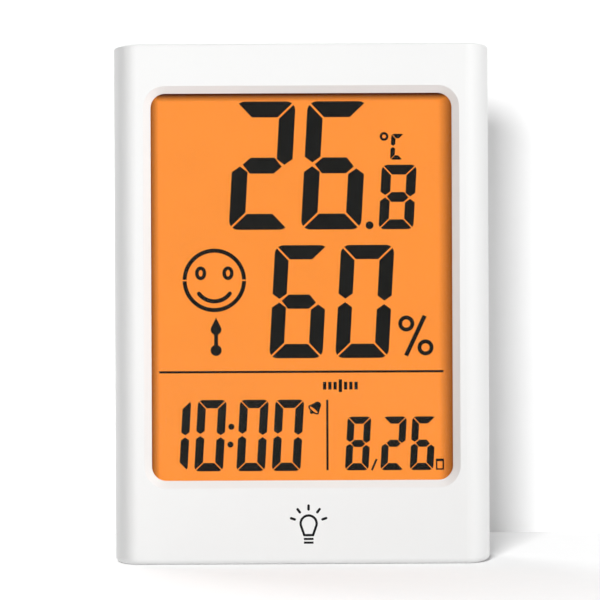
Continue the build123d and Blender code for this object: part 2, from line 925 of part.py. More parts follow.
def thermistor():
    y = board_rear_y + bead_stand
    bead = Pos(bead_x, y, bead_z) * Sphere(bead_radius)
    for side in (-1, 1):
        x = bead_x + side * bead_leg_gap / 2
        bead += rod(x, bead_z, bead_leg_radius, board_rear_y, y)
    return bead


def buzzer():
    end = board_rear_y + buzzer_height
    can = rod(-vent_offset, vent_height, buzzer_radius, board_rear_y, end)
    can = fillet(can.edges().sort_by(Axis.Y)[-1], buzzer_round)
    port = rod(-vent_offset, vent_height, buzzer_port_radius, end - buzzer_port_depth, end)
    return can - port


def touch_spring():
    length = board_y - bezel_y
    spring = coil(touch_coil_radius, touch_coil_radius, length, touch_wire, touch_turns)
    return Pos(mark_side_offset, board_y, mark_height) * Rot(90, 0, 0) * spring


# Rear buttons and the switches that they press
def switch_bodies():
    solids = []
    end = board_rear_y + switch_height
    for x, z in button_places:
        body = slab(
            rounded(switch_width, switch_width, switch_foot_round, x, z),
            board_rear_y,
            switch_height,
        )
        bore = switch_plunger_radius + switch_plunger_clearance
        depth = switch_plunger_depth + 2 * button_travel
        solids.append(body - rod(x, z, bore, end - depth, end + overrun))
    return Compound(children=[piece for body in solids for piece in body.solids()])


def switch_plunger(x, z):
    start = board_rear_y + switch_height - switch_plunger_depth
    return rod(x, z, switch_plunger_radius, start, board_rear_y + switch_total)


def key_symbol(name):
    size, stroke = key_symbol_size, key_symbol_stroke
    if name in ("up", "down"):
        tip = size / 2 if name == "up" else -size / 2
        return make_face(Polyline((-size / 2, -tip), (size / 2, -tip), (0, tip), close=True))
    if name == "set":
        return Circle(size / 2) - Circle(size / 2 - stroke)
    return Rectangle(size, stroke) + Pos(0, stroke * 2) * Rectangle(size, stroke)


def button(name, x, z):
    top = rear_y - button_below_rear
    flange_y = rear_inner_y - key_strip_depth - button_flange_thickness - seat_gap
    cap_shape = rounded(button_width, button_rise, button_corner, x, z)
    cap = slab(cap_shape, flange_y, top - flange_y)
    cap = fillet(cap.faces().sort_by(Axis.Y)[-1].edges(), button_edge_round)
    wide = rounded(
        button_width + 2 * button_flange,
        button_rise + 2 * button_flange,
        button_corner + button_flange,
        x,
        z,
    )
    cap += slab(wide, flange_y, button_flange_thickness)
    cap += rod(x, z, button_stem_radius, board_rear_y + switch_total, flange_y)
    symbol = Pos(x, z) * key_symbol(name)
    return cap - slab(symbol, top - key_symbol_depth, key_symbol_depth + overrun)


# Rear shell with its battery bay, stand pocket and posts
def rear_shell():
    shell = hollow_form & y_range(seam_y + seam_gap, rear_y + overrun)
    shell += bay_block() + stand_block() + key_pad()
    for x in (-case_post_x, case_post_x):
        for z in (case_post_low, case_post_high):
            start = seam_y + case_post_above_seam
            shell += rod(x, z, case_bore_radius + wall / 2, start, rear_inner_y) & solid_form
            seat = start + case_seat_thickness
            shell -= rod(x, z, case_bore_radius, seat, rear_y + overrun)
            shell -= rod(x, z, case_screw_radius + through_clearance, start, seat)
    rebate = housing_block(wall - lip_thickness - lip_clearance) - housing_block(wall + lip_clearance)
    shell -= rebate & y_range(seam_y - overrun, seam_y + lip_height + lip_clearance)
    shell -= bay_space() + stand_space() + key_strip_space()
    return shell - keyhole() - vents() - sound_holes()


def bay_block():
    half_x, half_z = bay_half_length + bay_wall, bay_half_height + bay_wall
    return block(
        (-half_x, bay_floor_y - bay_floor, bay_centre_height - half_z),
        (half_x, rear_inner_y, bay_centre_height + half_z),
    )


def bay_space():
    low, high = bay_centre_height - bay_half_height, bay_centre_height + bay_half_height
    space = block((-bay_half_length, bay_floor_y, low), (bay_half_length, rear_y + overrun, high))
    opening = rounded(
        2 * (cover_half_width + cover_clearance),
        cover_top - cover_base + 2 * cover_clearance,
        cover_corner + cover_clearance,
        0,
        bay_centre_height,
    )
    space += slab(opening, cover_inner_y, cover_thickness + overrun)
    for side in (-1, 1):
        x = side * tongue_offset
        half = tongue_width / 2 + cover_clearance
        slot_y = cover_inner_y - tongue_slot_depth
        end = cover_base - tongue_reach - tongue_end_gap
        space += block((x - half, slot_y, end), (x + half, rear_inner_y, low + overrun))
        space += block((x - half, slot_y, cover_base), (x + half, cover_inner_y, low + overrun))
    latch_half = latch_width / 2 + cover_clearance
    latch_low_y = cover_inner_y - latch_depth - cover_clearance
    space += block(
        (-latch_half, latch_low_y, high - overrun), (latch_half, cover_inner_y, cover_top)
    )
    scoop = Pos(0, cover_top) * SlotOverall(scoop_width, 2 * scoop_height)
    space += slab(scoop, rear_y - scoop_depth, scoop_depth + overrun)
    for z in (bay_centre_height - cell_offset, bay_centre_height + cell_offset):
        slot_low = (bay_half_length - overrun, cell_y + lug_height, z - lug_width / 2 - seat_gap)
        slot_high = (
            bay_half_length + bay_wall + seat_gap,
            cell_y + lug_height + contact_plate + 2 * seat_gap,
            z + lug_width / 2 + seat_gap,
        )
        space += block(slot_low, slot_high)
    return space


def stand_block():
    half = stand_width / 2 + stand_clearance + stand_wall
    low = stand_foot_height - stand_clearance - stand_floor
    high = stand_hinge_height + stand_barrel_radius + stand_clearance + stand_floor
    start = rear_y - stand_thickness - stand_clearance - stand_floor
    flat = block((-half, start, low), (half, rear_inner_y, high))
    deep = stand_axis_y - stand_barrel_radius - stand_clearance - stand_floor
    step = stand_hinge_height - stand_barrel_radius - stand_clearance - stand_floor
    return flat + block((-half, deep, step), (half, rear_inner_y, high))


def stand_space():
    half = stand_width / 2 + stand_clearance
    high = stand_hinge_height + stand_barrel_radius + stand_clearance
    low = stand_foot_height - stand_clearance
    corner = stand_foot_corner
    shape = Pos(0, (low + high) / 2) * Rectangle(2 * half, high - low)
    shape = fillet(shape.vertices().group_by(Axis.Y)[0], corner)
    floor_y = rear_y - stand_thickness - stand_clearance
    space = slab(shape, floor_y, stand_thickness + stand_clearance + overrun)
    reach = stand_barrel_radius + stand_clearance
    space += block(
        (-half, stand_axis_y - reach, stand_hinge_height - reach),
        (half, rear_y + overrun, high),
    )
    pin = stand_width / 2 + stand_pin_length + stand_clearance
    radius = stand_pin_radius + stand_pin_clearance
    return space + cross_rod(-pin, pin, stand_axis_y, stand_hinge_height, radius)


def key_pad():
    pad = rounded(key_strip_width, key_strip_height, key_strip_corner, 0, button_height)
    return slab(pad, rear_inner_y - key_strip_depth, key_strip_depth)


def key_strip_space():
    strip = rounded(key_strip_width, key_strip_height, key_strip_corner, 0, button_height)
    space = slab(strip, rear_y - key_strip_depth, key_strip_depth + overrun)
    for x, z in button_places:
        hole = rounded(
            button_width + 2 * button_clearance,
            button_rise + 2 * button_clearance,
            button_corner + button_clearance,
            x,
            z,
        )
        space += slab(hole, rear_inner_y - key_strip_depth - overrun, wall + overrun)
    return space


def keyhole():
    slot = Pos(0, keyhole_height + keyhole_slot_rise / 2)
    shape = Pos(0, keyhole_height) * Circle(keyhole_radius)
    shape += slot * Rectangle(keyhole_slot_width, keyhole_slot_rise)
    shape += Pos(0, keyhole_height + keyhole_slot_rise) * Circle(keyhole_slot_width / 2)
    return slab(shape, rear_inner_y - overrun, wall + 2 * overrun)


def vents():
    slots = []
    for step in range(vent_count):
        z = vent_height + (step - (vent_count - 1) / 2) * vent_pitch
        slot = Pos(vent_offset, z) * SlotOverall(vent_length, vent_width)
        slots.append(slab(slot, rear_inner_y - overrun, wall + 2 * overrun))
    return slots


def sound_holes():
    places = [(-vent_offset, vent_height)]
    for step in range(sound_hole_count):
        angle = math.radians(360) * step / sound_hole_count
        x = -vent_offset + sound_ring_radius * math.cos(angle)
        places.append((x, vent_height + sound_ring_radius * math.sin(angle)))
    start, end = rear_inner_y - overrun, rear_y + overrun
    return [rod(x, z, sound_hole_radius, start, end) for x, z in places]


# Battery cover: a plate with two tongues at its lower edge and a latch arm at its upper one
def battery_cover():
    shape = rounded(
        2 * cover_half_width, cover_top - cover_base, cover_corner, 0, bay_centre_height
    )
    for side in (-1, 1):
        x = side * (latch_width / 2 + latch_slot_width / 2)
        slot = Rectangle(latch_slot_width, latch_slot_length)
        shape -= Pos(x, cover_top - latch_slot_length / 2) * slot
    cover = slab(shape, cover_inner_y, cover_thickness)
    bay_low = bay_centre_height - bay_half_height
    tongue_top = cover_inner_y - tongue_drop
    for side in (-1, 1):
        x = side * tongue_offset
        cover += block(
            (x - tongue_width / 2, tongue_top - tongue_thickness, cover_base - tongue_reach),
            (x + tongue_width / 2, tongue_top, bay_low + tongue_foot),
        )
        cover += block(
            (x - tongue_width / 2, tongue_top - tongue_thickness, cover_base + tongue_drop),
            (x + tongue_width / 2, cover_inner_y, bay_low + tongue_foot),
        )
    arm_top = cover_top - cover_clearance
    cover += block(
        (-latch_width / 2, cover_inner_y - latch_depth, arm_top - latch_thickness),
        (latch_width / 2, cover_inner_y, arm_top),
    )
    for step in range(grip_count):
        z = cover_top - latch_slot_length / 2 + (step - (grip_count - 1) / 2) * grip_pitch
        groove = Pos(0, z) * SlotOverall(grip_length, grip_width)
        cover -= slab(groove, rear_y - grip_depth, grip_depth + overrun)
    return cover


# Stand: a plate that hangs from a barrel with a pin at each end
def stand():
    half = stand_width / 2
    height = stand_hinge_height - stand_foot_height
    shape = Pos(0, stand_foot_height + height / 2) * Rectangle(stand_width, height)
    shape = fillet(shape.vertices().group_by(Axis.Y)[0], stand_foot_corner)
    shape -= Pos(0, stand_foot_height) * Circle(stand_notch_radius)
    plate = slab(shape, rear_y - stand_thickness, stand_thickness)
    low = stand_foot_height + stand_notch_radius + stand_panel_inset
    high = stand_hinge_height - stand_barrel_radius - stand_panel_inset
    panel = rounded(
        stand_width - 2 * stand_panel_inset, high - low, stand_panel_inset / 2, 0, (low + high) / 2
    )
    plate -= slab(panel, rear_y - stand_panel_depth, stand_panel_depth + overrun)
    plate += cross_rod(-half, half, stand_axis_y, stand_hinge_height, stand_barrel_radius)
    pin = half + stand_pin_length
    return plate + cross_rod(-pin, pin, stand_axis_y, stand_hinge_height, stand_pin_radius)


# Cells and their contacts: each cell's minus end stands on a spring
plate_x = bay_half_length - seat_gap
cell_end_x = plate_x - contact_plate - contact_spring_length


def cell(side, z):
    """Cell whose minus end is on the given side."""
    far = cell_end_x - cell_length
    can = cross_rod(far, cell_end_x, cell_y, z, cell_diameter / 2)
    can = fillet(can.edges(), cell_rim)
    can += cross_rod(far - cell_nub_height, far, cell_y, z, cell_nub_radius)
    return can if side > 0 else mirror(can, about=Plane.YZ)


def contact_plate_at(side, low, high):
    plate = block(
        (plate_x - contact_plate, cell_y - contact_plate_width / 2, low),
        (plate_x, cell_y + contact_plate_width / 2, high),
    )
    return plate if side > 0 else mirror(plate, about=Plane.YZ)


def dimple(side, z):
    reach = cell_length + cell_nub_height - cell_end_x
    boss = cross_rod(reach, plate_x - contact_plate, cell_y, z, contact_dimple_radius)
    return boss if side > 0 else mirror(boss, about=Plane.YZ)


def lug(z):
    """Solder lug that passes out through the end wall of the bay."""
    y = cell_y + lug_height + seat_gap
    return block(
        (plate_x - contact_plate, y, z - lug_width / 2),
        (bay_half_length + bay_wall + lug_reach, y + contact_plate, z + lug_width / 2),
    )


upper_z = bay_centre_height + cell_offset
lower_z = bay_centre_height - cell_offset
plate_half = contact_plate_width / 2


def contact_spring(side, z):
    spring = coil(
        contact_spring_base,
        contact_spring_tip,
        contact_spring_length,
        contact_spring_wire,
        contact_turns,
    )
    spring = Pos(plate_x - contact_plate, cell_y, z) * Rot(0, -90, 0) * spring
    return spring if side > 0 else mirror(spring, about=Plane.YZ)


# Battery lead from a lug, along the end wall of the bay, and down to the board
def battery_lead(z):
    x = bay_half_length + bay_wall + lead_wall_gap + lead_radius
    start_y = cell_y + lug_height + seat_gap
    points = [
        (x, start_y, z),
        (x, start_y - lead_lug_run, z),
        (x, board_rear_y + lead_rise, z - lead_drop),
        (x, board_rear_y, z - lead_drop),
    ]
    path = FilletPolyline(*points, radius=list(lead_bends))
    section = Plane(origin=path @ 0, z_dir=path % 0) * Circle(lead_radius)
    return sweep(section, path=path)


def case_screws():
    y = seam_y + case_post_above_seam + case_seat_thickness
    one = screw(case_screw_radius, case_screw_length, case_head_radius, case_head_height)
    places = [(x, z) for x in (-case_post_x, case_post_x) for z in (case_post_low, case_post_high)]
    return Compound(children=[Pos(x, y, z) * one for x, z in places])


def board_screws():
    one = screw(board_screw_radius, board_screw_length, board_head_radius, board_head_height)
    places = board_screw_places()
    return Compound(children=[Pos(x, board_rear_y, z) * one for x, z in places])


nodes = {
    "front_shell": front_shell(),
    "touch_mark": Compound(children=slab(touch_mark(), front_y, mark_depth).solids()),
    "window_lens": window_lens(),
    "lens_tape": lens_tape(),
    "front_polariser": film(front_film_y, polariser_thickness),
    "front_glass": front_glass(),
    "edge_seal": edge_seal(),
    "display_segments": display_segments(),
    "rear_glass": rear_glass(),
    "rear_polariser": film(rear_film_y, polariser_thickness),
    "diffuser_sheet": film(diffuser_y, diffuser_thickness),
    "light_guide": light_guide(),
    "reflector_sheet": film(reflector_y, reflector_thickness),
    "lamp_strip": lamp_strip(),
    "backlight_lamps": lamps(),
    "display_holder": display_holder(),
    "zebra_strip": zebra_strip(),
    "main_board": main_board(),
    "chip_blob": chip_blob(),
    "clock_crystal": clock_crystal(),
    "chip_parts": chip_parts(),
    "humidity_sensor": humidity_sensor(),
    "thermistor": thermistor(),
    "buzzer": buzzer(),
    "touch_spring": touch_spring(),
    "switch_bodies": switch_bodies(),
    "rear_shell": rear_shell(),
    "battery_cover": battery_cover(),
    "stand": stand(),
    "cell_upper": cell(-1, upper_z),
    "cell_lower": cell(1, lower_z),
    "bridge_plate": contact_plate_at(-1, lower_z - plate_half, upper_z + plate_half)
    + dimple(-1, lower_z),
    "positive_plate": contact_plate_at(1, upper_z - plate_half, upper_z + plate_half)
    + dimple(1, upper_z) + lug(upper_z),
    "negative_plate": contact_plate_at(1, lower_z - plate_half, lower_z + plate_half)
    + lug(lower_z),
    "contact_springs": Compound(
        children=[contact_spring(-1, upper_z), contact_spring(1, lower_z)]
    ),
    "lead_red": battery_lead(upper_z),
    "lead_black": battery_lead(lower_z),
    "case_screws": case_screws(),
    "board_screws": board_screws(),
}
for name, (x, z) in zip(button_names, button_places):
    nodes["button_" + name] = button(name, x, z)
    nodes["plunger_" + name] = switch_plunger(x, z)

for name, shape in nodes.items():
    export_step(shape, f"parts/{name}.step")
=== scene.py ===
# A small indoor temperature and humidity display in a white case, dressed for its
# picture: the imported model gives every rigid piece, and this script gives each one its
# finish, wraps the two cells, and sets the floor, the lamps and the camera.
import math

import bpy
from mathutils import Matrix, Vector


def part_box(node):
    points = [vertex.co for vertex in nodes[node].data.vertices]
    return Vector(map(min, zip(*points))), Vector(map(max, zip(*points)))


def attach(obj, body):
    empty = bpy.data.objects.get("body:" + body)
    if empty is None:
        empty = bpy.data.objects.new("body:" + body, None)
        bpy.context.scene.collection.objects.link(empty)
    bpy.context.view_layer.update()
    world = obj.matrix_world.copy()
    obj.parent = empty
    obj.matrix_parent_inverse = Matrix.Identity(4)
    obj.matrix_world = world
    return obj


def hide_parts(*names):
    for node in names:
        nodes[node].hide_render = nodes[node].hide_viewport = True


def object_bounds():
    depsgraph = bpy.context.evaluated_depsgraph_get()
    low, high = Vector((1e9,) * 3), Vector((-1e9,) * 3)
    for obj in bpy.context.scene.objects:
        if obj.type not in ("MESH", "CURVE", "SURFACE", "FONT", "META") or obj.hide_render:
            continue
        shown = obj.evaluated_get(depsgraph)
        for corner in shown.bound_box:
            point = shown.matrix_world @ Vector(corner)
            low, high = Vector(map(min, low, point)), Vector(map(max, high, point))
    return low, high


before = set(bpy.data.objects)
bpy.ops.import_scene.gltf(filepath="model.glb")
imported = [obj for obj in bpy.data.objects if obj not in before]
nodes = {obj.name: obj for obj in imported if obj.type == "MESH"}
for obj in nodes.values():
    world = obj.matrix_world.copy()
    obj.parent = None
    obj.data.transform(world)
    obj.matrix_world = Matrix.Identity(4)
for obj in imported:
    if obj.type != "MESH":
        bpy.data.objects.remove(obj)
packed_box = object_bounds()
bpy.ops.object.select_all(action="DESELECT")


# The case: front shell, rear shell, battery cover and stand are injection-moulded in
# white ABS. The front is satin and nearly smooth; the back has a fine spark-eroded
# grain. The cover and the stand come from moulds of their own, a shade apart.
class Amount:
    """A number or colour that varies over a surface. A sum on it adds its nodes."""

    def __init__(self, finish, socket):
        self.finish = finish
        self.socket = socket

    def reckon(self, operation, first, second):
        return self.finish.node("Math", {"operation": operation}, {0: first, 1: second})

    def __add__(self, other):
        return self.reckon("ADD", self, other)

    def __radd__(self, other):
        return self.reckon("ADD", other, self)

    def __sub__(self, other):
        return self.reckon("SUBTRACT", self, other)

    def __rsub__(self, other):
        return self.reckon("SUBTRACT", other, self)

    def __mul__(self, other):
        return self.reckon("MULTIPLY", self, other)

    def __rmul__(self, other):
        return self.reckon("MULTIPLY", other, self)

    def __truediv__(self, other):
        return self.reckon("DIVIDE", self, other)

    def __lt__(self, other):
        return self.reckon("LESS_THAN", self, other)

    def __gt__(self, other):
        return self.reckon("GREATER_THAN", self, other)

    def __mod__(self, other):
        return self.reckon("FLOORED_MODULO", self, other)

    def __abs__(self):
        return self.reckon("ABSOLUTE", self, 0)

    def larger(self, other):
        return self.reckon("MAXIMUM", self, other)

    def smaller(self, other):
        return self.reckon("MINIMUM", self, other)

    def held(self):
        """The same amount, kept from 0 to 1."""
        return self.larger(0).smaller(1)


class Finish:
    """The nodes of one material, or of the surroundings."""

    def __init__(self, owner):
        owner.use_nodes = True
        self.owner = owner
        self.tree = owner.node_tree
        self.tree.nodes.clear()

    def node(self, kind, settings, inputs, output=0):
        made = self.tree.nodes.new("ShaderNode" + kind)
        for name, value in settings.items():
            setattr(made, name, value)
        for name, value in inputs.items():
            if isinstance(value, Amount):
                self.tree.links.new(value.socket, made.inputs[name])
            else:
                made.inputs[name].default_value = value
        return Amount(self, made.outputs[output]) if made.outputs else None

    def place(self):
        return self.node("TexCoord", {}, {}, "Object")

    def along(self, axis):
        """How far a point lies along x, y or z, in metres."""
        return self.node("SeparateXYZ", {}, {0: self.place()}, "XYZ".index(axis))

    def cloud(self, size, detail=2, stretch=(1, 1, 1)):
        """Soft irregular patches of about this size, in metres."""
        spot = self.node("Mapping", {}, {"Vector": self.place(), "Scale": stretch})
        return self.node("TexNoise", {}, {"Vector": spot, "Scale": 1 / size, "Detail": detail})

    def blend(self, share, first, second):
        """The first colour where the share is 0 and the second where it is 1."""
        ends = [c if isinstance(c, Amount) else (*c, 1) for c in (first, second)]
        return self.node("Mix", {"data_type": "RGBA"}, {0: share, 6: ends[0], 7: ends[1]}, 2)

    def relief(self, height, depth):
        """Small bumps: height runs from 0 to 1 over this depth, in metres."""
        return self.node("Bump", {}, {"Strength": 1, "Distance": depth, "Height": height})

    def surface(self, inputs):
        shader = self.node("BsdfPrincipled", {}, inputs)
        self.node("OutputMaterial", {}, {"Surface": shader})
        return self.owner


def finish_named(name):
    return Finish(bpy.data.materials.new(name))


def dress(material, *names):
    for name in names:
        for slot in nodes[name].material_slots:
            slot.material = material


def moulded(name, dark, light, grain, depth, roughness):
    """Moulded plastic: soft changes of shade, and a grain from the mould's wall."""
    finish = finish_named(name)
    speck = finish.cloud(grain, detail=3)
    shade = finish.cloud(size=0.03)
    return finish.surface(
        {
            "Base Color": finish.blend(shade, dark, light),
            "Roughness": roughness + 0.1 * speck,
            "IOR": 1.46,
            "Normal": finish.relief(speck, depth),
        }
    )


case_dark = (0.875, 0.877, 0.872)
case_light = (0.895, 0.895, 0.89)
satin_grain = 0.0005
satin_depth = 0.0000015
spark_grain = 0.00035
spark_depth = 0.00001
front_white = moulded(
    "front_white", case_dark, case_light, satin_grain, satin_depth, roughness=0.38
)
rear_white = moulded("rear_white", case_dark, case_light, spark_grain, spark_depth, roughness=0.5)
dress(front_white, "front_shell")
dress(rear_white, "rear_shell")

cover_dark = (0.865, 0.867, 0.86)
cover_light = (0.89, 0.89, 0.882)
cover_white = moulded(
    "cover_white", cover_dark, cover_light, spark_grain, spark_depth, roughness=0.52
)
dress(cover_white, "battery_cover", "stand")


# The four keys on the back are pressed by a fingertip: white ABS as the case, but
# polished on top, so they catch the light. Their plungers are black acetal.
key_white = moulded("key_white", case_dark, case_light, satin_grain, satin_depth, roughness=0.3)
dress(key_white, "button_mode", "button_set", "button_up", "button_down")

acetal_dark = (0.018, 0.018, 0.02)
acetal_light = (0.028, 0.028, 0.03)
plunger_black = moulded(
    "plunger_black", acetal_dark, acetal_light, satin_grain, satin_depth, roughness=0.35
)
dress(plunger_black, "plunger_mode", "plunger_set", "plunger_up", "plunger_down")


# The touch mark under the window is pad printed in one pass of dark ink, which dries
# matt and a little uneven.
ink_thick = (0.003, 0.003, 0.004)
ink_thin = (0.008, 0.008, 0.009)
mark_ink = finish_named("mark_ink")
ink_speck = mark_ink.cloud(size=0.0003, detail=4)
mark_ink.surface(
    {
        "Base Color": mark_ink.blend(ink_speck, ink_thick, ink_thin),
        "Roughness": 0.55 + 0.2 * ink_speck,
        "Specular IOR Level": 0.15,
        "Normal": mark_ink.relief(ink_speck, depth=0.000004),
    }
)
dress(mark_ink.owner, "touch_mark")


# The window is a polished acrylic lens, held to the back of the front shell by a thin
# frame of white adhesive film.
worn_share = 0.8


def clear_sheet(name, colour, cover, roughness):
    """A clear layer: what little it hides is its cover, which polish marks vary."""
    worn = [worn_share * part for part in colour]
    finish = finish_named(name)
    wisp = finish.cloud(size=0.012, detail=4)
    return finish.surface(
        {
            "Base Color": finish.blend(wisp, colour, worn),
            "Roughness": roughness + 0.04 * wisp,
            "IOR": 1.49,
            "Alpha": cover * (0.8 + 0.4 * wisp),
        }
    )


lens_tint = (0.12, 0.125, 0.125)
dress(clear_sheet("lens_acrylic", lens_tint, cover=0.03, roughness=0.03), "window_lens")

tape_dark = (0.82, 0.81, 0.76)
tape_light = (0.88, 0.87, 0.83)
tape_film = finish_named("tape_film")
tape_thread = tape_film.cloud(size=0.0004, detail=3, stretch=(1, 1, 0.2))
tape_film.surface(
    {
        "Base Color": tape_film.blend(tape_thread, tape_dark, tape_light),
        "Roughness": 0.55 + 0.2 * tape_thread,
        "Normal": tape_film.relief(tape_thread, depth=0.000008),
    }
)
dress(tape_film.owner, "lens_tape")


# The display: two panes of soda glass with liquid crystal between them, sealed round
# the edge with cured resin, and a grey polarising film on the front pane.
glass_tint = (0.05, 0.06, 0.058)
display_glass = clear_sheet("display_glass", glass_tint, cover=0.02, roughness=0.04)
dress(display_glass, "front_glass", "rear_glass")
film_tint = (0.06, 0.057, 0.05)
dress(clear_sheet("front_film", film_tint, cover=0.04, roughness=0.3), "front_polariser")

seal_dark = (0.68, 0.68, 0.64)
seal_light = (0.76, 0.76, 0.72)
seal_resin = finish_named("seal_resin")
seal_cloud = seal_resin.cloud(size=0.002, detail=3)
seal_resin.surface(
    {
        "Base Color": seal_resin.blend(seal_cloud, seal_dark, seal_light),
        "Roughness": 0.35 + 0.15 * seal_cloud,
        "Normal": seal_resin.relief(seal_cloud, depth=0.00001),
    }
)
dress(seal_resin.owner, "edge_seal")


# The segments are where the crystal turns dark between printed electrodes: almost
# black, a trace of blue, with a faint weave of the electrode film.
crystal_dark = (0.010, 0.0115, 0.012)
crystal_light = (0.014, 0.0155, 0.0165)
segment_dark = finish_named("segment_dark")
electrode = segment_dark.cloud(size=0.0015, detail=4)
segment_dark.surface(
    {
        "Base Color": segment_dark.blend(electrode, crystal_dark, crystal_light),
        "Roughness": 0.55 + 0.15 * electrode,
        "Specular IOR Level": 0.2,
    }
)
dress(segment_dark.owner, "display_segments")


# Behind the rear pane a transflective film shows the amber light of the guide plate
# behind it. It is evenly lit, and a painted shadow darkens its glow close under the rim
# of the window, at the right, the top and the left, in place of the rim's own shadow.
lit_amber = (1.0, 0.292, 0.037)
painted_rim_shadow_amber = (0.05, 0.006, 0.0005)
unlit_dark = (0.30, 0.085, 0.012)
unlit_light = (0.33, 0.095, 0.014)
film_amber = finish_named("film_amber")
film_mottle = film_amber.cloud(size=0.009, detail=3)
# Painted shadow of the window's rim: the glow fades to a dark amber within a few millimetres of
# the window's right, top and left edges.
window_right = 0.031
window_top = 0.09685
right_start = 0.25
right_fade = 0.0035
top_fade = 0.0014
left_start = 0.3
left_fade = 0.0022
across = film_amber.along("X")
upward = film_amber.along("Z")
from_right = (right_start + (window_right - across) / right_fade).held()
from_top = ((window_top - upward) / top_fade).held()
from_left = (left_start + (across + window_right) / left_fade).held()
# Where the painted rim shadow lies: 0 at the rim, 1 clear of it.
outside_painted_shadow = from_right.smaller(from_top).smaller(from_left)
glow = film_amber.blend(outside_painted_shadow, painted_rim_shadow_amber, lit_amber)
film_amber.surface(
    {
        "Base Color": film_amber.blend(film_mottle, unlit_dark, unlit_light),
        "Roughness": 0.7 + 0.1 * film_mottle,
        "Specular IOR Level": 0.1,
        "Emission Color": glow,
        "Emission Strength": 1.24,
    }
)
dress(film_amber.owner, "rear_polariser")


# Behind the film: a frosted amber diffuser, an acrylic guide plate with a printed dot
# pattern, a white reflector, and the strip board with its four side-firing lamps.
frost_dark = (0.9, 0.3, 0.05)
frost_light = (1.0, 0.36, 0.07)
frost_glow = (0.9, 0.26, 0.03, 1)
diffuser_amber = finish_named("diffuser_amber")
frost = diffuser_amber.cloud(size=0.0003, detail=4)
diffuser_amber.surface(
    {
        "Base Color": diffuser_amber.blend(frost, frost_dark, frost_light),
        "Roughness": 0.8 + 0.1 * frost,
        "Emission Color": frost_glow,
        "Emission Strength": 0.5,
        "Normal": diffuser_amber.relief(frost, depth=0.000006),
    }
)
dress(diffuser_amber.owner, "diffuser_sheet")

guide_clear = (0.95, 0.5, 0.2)
guide_dot = (1.0, 0.92, 0.8)
dot_gap = 0.0012
dot_radius_share = 0.28
guide_acrylic = finish_named("guide_acrylic")
dot = guide_acrylic.node(
    "TexVoronoi",
    {},
    {"Vector": guide_acrylic.place(), "Scale": 1 / dot_gap, "Randomness": 0},
    "Distance",
)
dotted = dot < dot_radius_share
guide_acrylic.surface(
    {
        "Base Color": guide_acrylic.blend(dotted, guide_clear, guide_dot),
        "Roughness": 0.08 + 0.5 * dotted,
        "Alpha": 0.35 + 0.5 * dotted,
    }
)
dress(guide_acrylic.owner, "light_guide")

reflector_dark = (0.9, 0.9, 0.89)
reflector_light = (0.94, 0.94, 0.94)
reflector_film = finish_named("reflector_film")
film_ripple = reflector_film.cloud(size=0.006)
reflector_film.surface(
    {
        "Base Color": reflector_film.blend(film_ripple, reflector_dark, reflector_light),
        "Roughness": 0.35 + 0.1 * film_ripple,
        "Normal": reflector_film.relief(film_ripple, depth=0.00002),
    }
)
dress(reflector_film.owner, "reflector_sheet")

resin_dark = (0.6, 0.36, 0.06)
resin_light = (0.7, 0.5, 0.2)
resin_glow = (1.0, 0.35, 0.05, 1)
lamp_resin = finish_named("lamp_resin")
lamp_core = lamp_resin.cloud(size=0.0008)
lamp_resin.surface(
    {
        "Base Color": lamp_resin.blend(lamp_core, resin_dark, resin_light),
        "Roughness": 0.35 + 0.1 * lamp_core,
        "Emission Color": resin_glow,
        "Emission Strength": 0.15,
    }
)
dress(lamp_resin.owner, "backlight_lamps")


# The boards are glass-epoxy laminate under green solder mask, which lies thinner and
# lighter over the copper tracks.
laminate_dark = (0.012, 0.12, 0.05)
laminate_light = (0.02, 0.15, 0.065)
mask_green = (0.05, 0.26, 0.12)
no_track = (1, 1, 1, 1)
track = (0, 0, 0, 1)
track_width_share = 0.12
track_length_share = 5
board_turn = (math.pi / 2, 0, 0)


def masked_board(name, track_gap):
    finish = finish_named(name)
    spot = finish.node("Mapping", {}, {"Vector": finish.place(), "Rotation": board_turn})
    tracks = finish.node(
        "TexBrick",
        {"offset": 0.5, "squash": 0.6, "squash_frequency": 3},
        {
            "Vector": spot,
            "Color1": no_track,
            "Color2": no_track,
            "Mortar": track,
            "Scale": 1,
            "Mortar Size": track_width_share * track_gap,
            "Brick Width": track_length_share * track_gap,
            "Row Height": track_gap,
        },
        1,
    )
    weave = finish.cloud(size=0.0006, detail=3)
    laminate = finish.blend(weave, laminate_dark, laminate_light)
    return finish.surface(
        {
            "Base Color": finish.blend(tracks, laminate, mask_green),
            "Roughness": 0.28 + 0.12 * weave,
            "Normal": finish.relief(tracks, depth=0.00003),
            "Coat Weight": 0.4,
        }
    )


dress(masked_board("main_board_mask", track_gap=0.002), "main_board")
dress(masked_board("strip_board_mask", track_gap=0.0008), "lamp_strip")


# The holder is natural ABS. The contact strip under the glass is silicone rubber in
# hundreds of thin black and pale layers, which join glass and board.
holder_dark = (0.76, 0.75, 0.7)
holder_light = (0.83, 0.82, 0.78)
holder_abs = moulded(
    "holder_abs", holder_dark, holder_light, spark_grain, spark_depth, roughness=0.5
)
dress(holder_abs, "display_holder")

layer_pale = (0.55, 0.53, 0.5)
layer_black = (0.03, 0.03, 0.032)
layer_pitch = 0.0004
zebra_layers = finish_named("zebra_layers")
layer = (zebra_layers.along("X") % layer_pitch) < layer_pitch / 2
zebra_dust = zebra_layers.cloud(size=0.001, detail=3)
zebra_layers.surface(
    {
        "Base Color": zebra_layers.blend(layer, layer_pale, layer_black),
        "Roughness": 0.65 + 0.15 * zebra_dust,
        "Normal": zebra_layers.relief(zebra_dust, depth=0.00001),
    }
)
dress(zebra_layers.owner, "zebra_strip")


